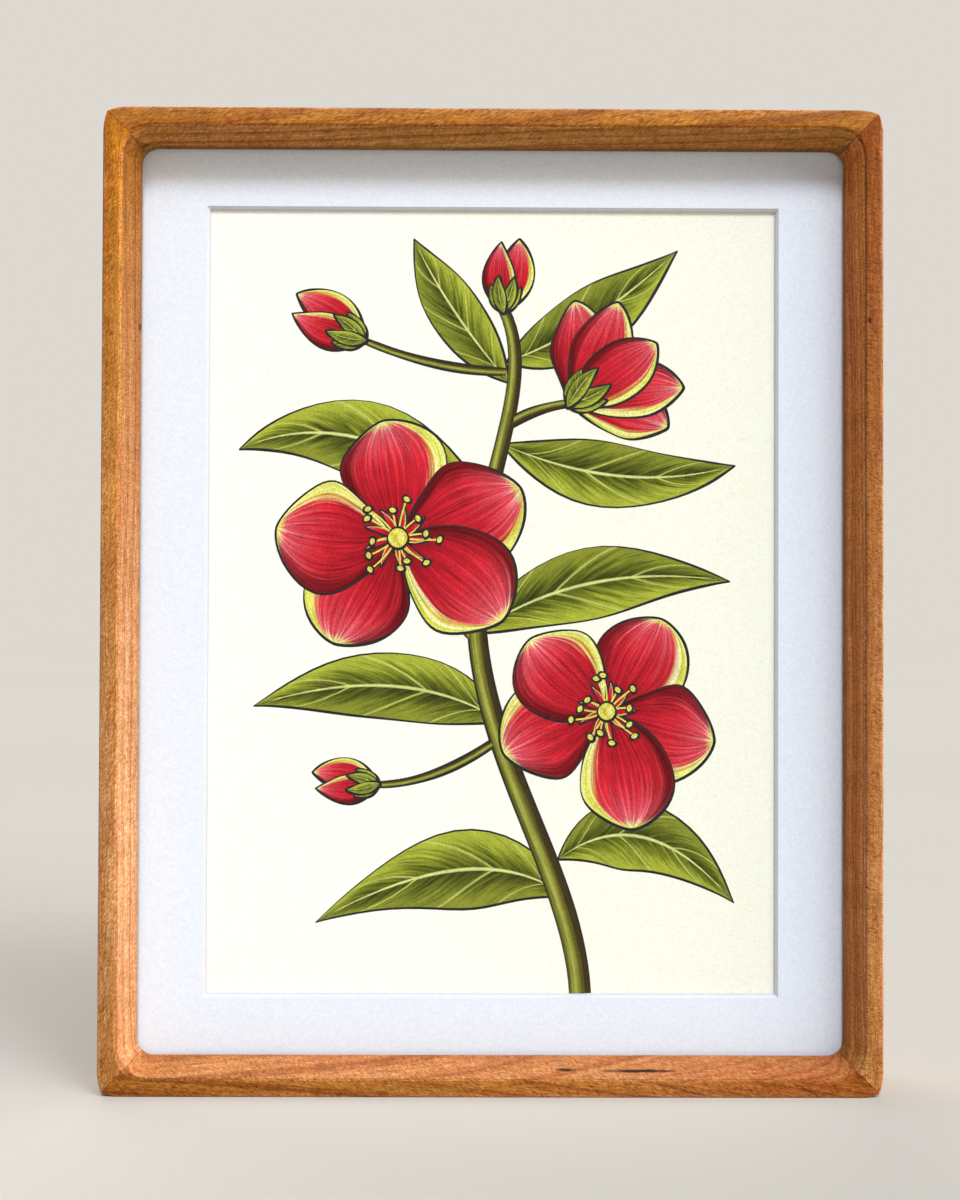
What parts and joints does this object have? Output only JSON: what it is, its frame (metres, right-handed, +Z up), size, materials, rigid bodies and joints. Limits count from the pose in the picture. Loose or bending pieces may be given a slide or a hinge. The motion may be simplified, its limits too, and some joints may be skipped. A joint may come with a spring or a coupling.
{
  "type": "framed picture",
  "caption": "Upright framed picture: deep wooden box frame with a flared inner bevel, white window mat, plant drawing on cream paper, glazing and backing.",
  "frame": {"origin": "under the middle of the bottom rail, half way through the frame's depth, on the surface that it stands on", "axes": "+Z up the picture, +X to the viewer's right, -Y out of the picture towards the viewer, +Y towards the wall"},
  "size_m": [0.2906, 0.036, 0.3669],
  "materials": {
    "cherry_wood": "oiled, satin",
    "glazing": "clear, anti-reflective",
    "mat_board": "matte, faint tooth",
    "art_paper": "matte, drawn and washed in colour",
    "backing_board": "medium density fibreboard, bare",
    "framer_point": "zinc plated",
    "screw_eye": "brass plated"
  },
  "bodies": {
    "root": {"rail_top": "cherry_wood", "rail_bottom": "cherry_wood", "rail_left": "cherry_wood", "rail_right": "cherry_wood", "glazing": "glazing", "mat_board": "mat_board", "art_sheet": "art_paper", "backing_board": "backing_board", "point_left_1": "framer_point", "point_left_2": "framer_point", "point_left_3": "framer_point", "point_right_1": "framer_point", "point_right_2": "framer_point", "point_right_3": "framer_point", "point_bottom_1": "framer_point", "point_bottom_2": "framer_point", "point_top_1": "framer_point", "point_top_2": "framer_point", "eye_left": "screw_eye", "eye_right": "screw_eye"}
  },
  "joints": []
}
